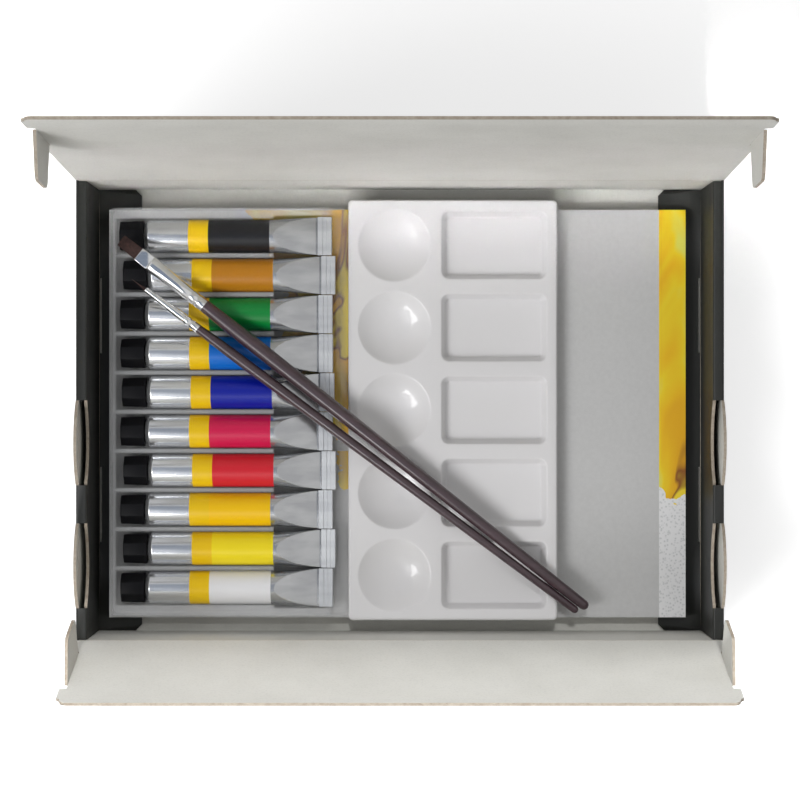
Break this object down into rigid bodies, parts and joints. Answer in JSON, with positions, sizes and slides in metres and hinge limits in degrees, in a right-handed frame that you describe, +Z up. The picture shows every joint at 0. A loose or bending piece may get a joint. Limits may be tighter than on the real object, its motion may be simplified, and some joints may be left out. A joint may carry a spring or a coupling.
{
  "type": "paint set",
  "caption": "Open board carton with two eared closing flaps, holding a paper pad, a clear tray of metal paint tubes, a mixing palette and two long brushes.",
  "frame": {"origin": "centre of the carton's underside, at the height of the surface it stands on", "axes": "+X along the carton's length towards the bare end of the pad, +Y towards the long closing flap, +Z up out of the carton"},
  "size_m": [0.3232, 0.2628, 0.2311],
  "materials": {
    "board_liner": "matt uncoated liner",
    "board_print": "black print with a soft sheen",
    "grey_board": "matt grey board",
    "canvas_paper": "matt, canvas texture",
    "cover_card": "smooth print",
    "spine_glue": "matt padding glue",
    "palette_plastic": "gloss moulded",
    "tray_film": "clear thermoformed film",
    "tube_metal": "satin with a printed jacket",
    "cap_plastic": "satin black moulded",
    "ferrule_metal": "polished plate",
    "handle_lacquer": "gloss lacquer",
    "bristle": "dark fine hair",
    "paint_01_wet": "wet paint",
    "paint_02_wet": "wet paint",
    "paint_03_wet": "wet paint",
    "paint_04_wet": "wet paint",
    "paint_05_wet": "wet paint",
    "paint_06_wet": "wet paint",
    "paint_07_wet": "wet paint",
    "paint_08_wet": "wet paint",
    "paint_09_wet": "wet paint",
    "paint_10_wet": "wet paint"
  },
  "bodies": {
    "carton": {"carton_floor": "board_liner", "carton_back_wall": "board_liner", "carton_front_wall": "board_liner", "carton_left_rolled_wall": "board_print", "carton_right_rolled_wall": "board_print", "carton_corner_tabs": "board_liner"},
    "long_flap": {"long_flap": "board_liner"},
    "long_flap_left_ear": {"long_flap_left_ear": "board_liner"},
    "long_flap_right_ear": {"long_flap_right_ear": "board_liner"},
    "short_flap": {"short_flap": "board_liner"},
    "short_flap_left_ear": {"short_flap_left_ear": "board_liner"},
    "short_flap_right_ear": {"short_flap_right_ear": "board_liner"},
    "pad": {"pad_back_board": "grey_board", "pad_sheets": "canvas_paper", "pad_cover": "cover_card", "pad_spine": "spine_glue"},
    "palette": {"mixing_palette": "palette_plastic"},
    "tray": {"tube_tray": "tray_film"},
    "tube_01": {"tube_01": "tube_metal", "paint_01": "paint_01_wet"},
    "cap_01": {"cap_01": "cap_plastic"},
    "tube_02": {"tube_02": "tube_metal", "paint_02": "paint_02_wet"},
    "cap_02": {"cap_02": "cap_plastic"},
    "tube_03": {"tube_03": "tube_metal", "paint_03": "paint_03_wet"},
    "cap_03": {"cap_03": "cap_plastic"},
    "tube_04": {"tube_04": "tube_metal", "paint_04": "paint_04_wet"},
    "cap_04": {"cap_04": "cap_plastic"},
    "tube_05": {"tube_05": "tube_metal", "paint_05": "paint_05_wet"},
    "cap_05": {"cap_05": "cap_plastic"},
    "tube_06": {"tube_06": "tube_metal", "paint_06": "paint_06_wet"},
    "cap_06": {"cap_06": "cap_plastic"},
    "tube_07": {"tube_07": "tube_metal", "paint_07": "paint_07_wet"},
    "cap_07": {"cap_07": "cap_plastic"},
    "tube_08": {"tube_08": "tube_metal", "paint_08": "paint_08_wet"},
    "cap_08": {"cap_08": "cap_plastic"},
    "tube_09": {"tube_09": "tube_metal", "paint_09": "paint_09_wet"},
    "cap_09": {"cap_09": "cap_plastic"},
    "tube_10": {"tube_10": "tube_metal", "paint_10": "paint_10_wet"},
    "cap_10": {"cap_10": "cap_plastic"},
    "flat_brush": {"flat_brush_handle": "handle_lacquer", "flat_brush_ferrule": "ferrule_metal", "flat_brush_hair": "bristle"},
    "round_brush": {"round_brush_handle": "handle_lacquer", "round_brush_ferrule": "ferrule_metal", "round_brush_hair": "bristle"}
  },
  "joints": [
    {"name": "long_flap_fold", "type": "hinge", "parent": "carton", "child": "long_flap", "pos_m": [0, 0.11525, 0.05435], "axis": [-1, 0, 0], "range_deg": [-93, 80]},
    {"name": "short_flap_fold", "type": "hinge", "parent": "carton", "child": "short_flap", "pos_m": [0, -0.11525, 0.0528], "axis": [1, 0, 0], "range_deg": [-106, 60]},
    {"name": "long_flap_left_ear_fold", "type": "hinge", "parent": "long_flap", "child": "long_flap_left_ear", "pos_m": [-0.1578, 0.12138, 0.18561], "axis": [0, -0.0523, -0.9986], "range_deg": [0, 90]},
    {"name": "long_flap_right_ear_fold", "type": "hinge", "parent": "long_flap", "child": "long_flap_right_ear", "pos_m": [0.1578, 0.12138, 0.18561], "axis": [0, 0.0523, 0.9986], "range_deg": [0, 90]},
    {"name": "short_flap_left_ear_fold", "type": "hinge", "parent": "short_flap", "child": "short_flap_left_ear", "pos_m": [-0.1578, -0.12495, 0.08934], "axis": [0, -0.2756, 0.9613], "range_deg": [0, 90]},
    {"name": "short_flap_right_ear_fold", "type": "hinge", "parent": "short_flap", "child": "short_flap_right_ear", "pos_m": [0.1578, -0.12495, 0.08934], "axis": [0, 0.2756, -0.9613], "range_deg": [0, 90]},
    {"name": "pad_lift", "type": "slide", "parent": "carton", "child": "pad", "axis": [0, 0, 1], "range_m": [0, 0.08]},
    {"name": "palette_lift", "type": "slide", "parent": "pad", "child": "palette", "axis": [0, 0, 1], "range_m": [0, 0.05]},
    {"name": "tray_lift", "type": "slide", "parent": "palette", "child": "tray", "axis": [0, 0, 1], "range_m": [0, 0.05]},
    {"name": "tube_06_lift", "type": "slide", "parent": "tray", "child": "tube_06", "axis": [0, 0, 1], "range_m": [0, 0.03]},
    {"name": "tube_05_lift", "type": "slide", "parent": "tube_06", "child": "tube_05", "axis": [0, 0, 1], "range_m": [0, 0.03]},
    {"name": "tube_04_lift", "type": "slide", "parent": "tube_05", "child": "tube_04", "axis": [0, 0, 1], "range_m": [0, 0.03]},
    {"name": "tube_03_lift", "type": "slide", "parent": "tube_04", "child": "tube_03", "axis": [0, 0, 1], "range_m": [0, 0.03]},
    {"name": "tube_02_lift", "type": "slide", "parent": "tube_03", "child": "tube_02", "axis": [0, 0, 1], "range_m": [0, 0.03]},
    {"name": "tube_01_lift", "type": "slide", "parent": "tube_02", "child": "tube_01", "axis": [0, 0, 1], "range_m": [0, 0.03]},
    {"name": "tube_07_lift", "type": "slide", "parent": "tray", "child": "tube_07", "axis": [0, 0, 1], "range_m": [0, 0.03]},
    {"name": "tube_08_lift", "type": "slide", "parent": "tray", "child": "tube_08", "axis": [0, 0, 1], "range_m": [0, 0.03]},
    {"name": "tube_09_lift", "type": "slide", "parent": "tray", "child": "tube_09", "axis": [0, 0, 1], "range_m": [0, 0.03]},
    {"name": "tube_10_lift", "type": "slide", "parent": "tray", "child": "tube_10", "axis": [0, 0, 1], "range_m": [0, 0.03]},
    {"name": "flat_brush_lift", "type": "slide", "parent": "tube_01", "child": "flat_brush", "axis": [0, 0, 1], "range_m": [0, 0.06]},
    {"name": "round_brush_lift", "type": "slide", "parent": "tube_01", "child": "round_brush", "axis": [0, 0, 1], "range_m": [0, 0.06]},
    {"name": "cap_01_turn", "type": "hinge", "parent": "tube_01", "child": "cap_01", "pos_m": [-0.1428, 0.0889, 0.02055], "axis": [-1, 0, 0], "range_deg": [0, 540]},
    {"name": "cap_02_turn", "type": "hinge", "parent": "tube_02", "child": "cap_02", "pos_m": [-0.141, 0.06896, 0.02055], "axis": [-1, 0, 0], "range_deg": [0, 540]},
    {"name": "cap_03_turn", "type": "hinge", "parent": "tube_03", "child": "cap_03", "pos_m": [-0.1424, 0.04902, 0.02055], "axis": [-1, 0, 0], "range_deg": [0, 540]},
    {"name": "cap_04_turn", "type": "hinge", "parent": "tube_04", "child": "cap_04", "pos_m": [-0.1422, 0.02908, 0.02055], "axis": [-1, 0, 0], "range_deg": [0, 540]},
    {"name": "cap_05_turn", "type": "hinge", "parent": "tube_05", "child": "cap_05", "pos_m": [-0.1415, 0.00914, 0.02055], "axis": [-1, 0, 0], "range_deg": [0, 540]},
    {"name": "cap_06_turn", "type": "hinge", "parent": "tube_06", "child": "cap_06", "pos_m": [-0.1423, -0.0108, 0.02055], "axis": [-1, 0, 0], "range_deg": [0, 540]},
    {"name": "cap_07_turn", "type": "hinge", "parent": "tube_07", "child": "cap_07", "pos_m": [-0.1407, -0.03074, 0.02055], "axis": [-1, 0, 0], "range_deg": [0, 540]},
    {"name": "cap_08_turn", "type": "hinge", "parent": "tube_08", "child": "cap_08", "pos_m": [-0.1423, -0.05068, 0.02055], "axis": [-1, 0, 0], "range_deg": [0, 540]},
    {"name": "cap_09_turn", "type": "hinge", "parent": "tube_09", "child": "cap_09", "pos_m": [-0.1409, -0.07062, 0.02055], "axis": [-1, 0, 0], "range_deg": [0, 540]},
    {"name": "cap_10_turn", "type": "hinge", "parent": "tube_10", "child": "cap_10", "pos_m": [-0.1422, -0.09056, 0.02055], "axis": [-1, 0, 0], "range_deg": [0, 540]}
  ]
}
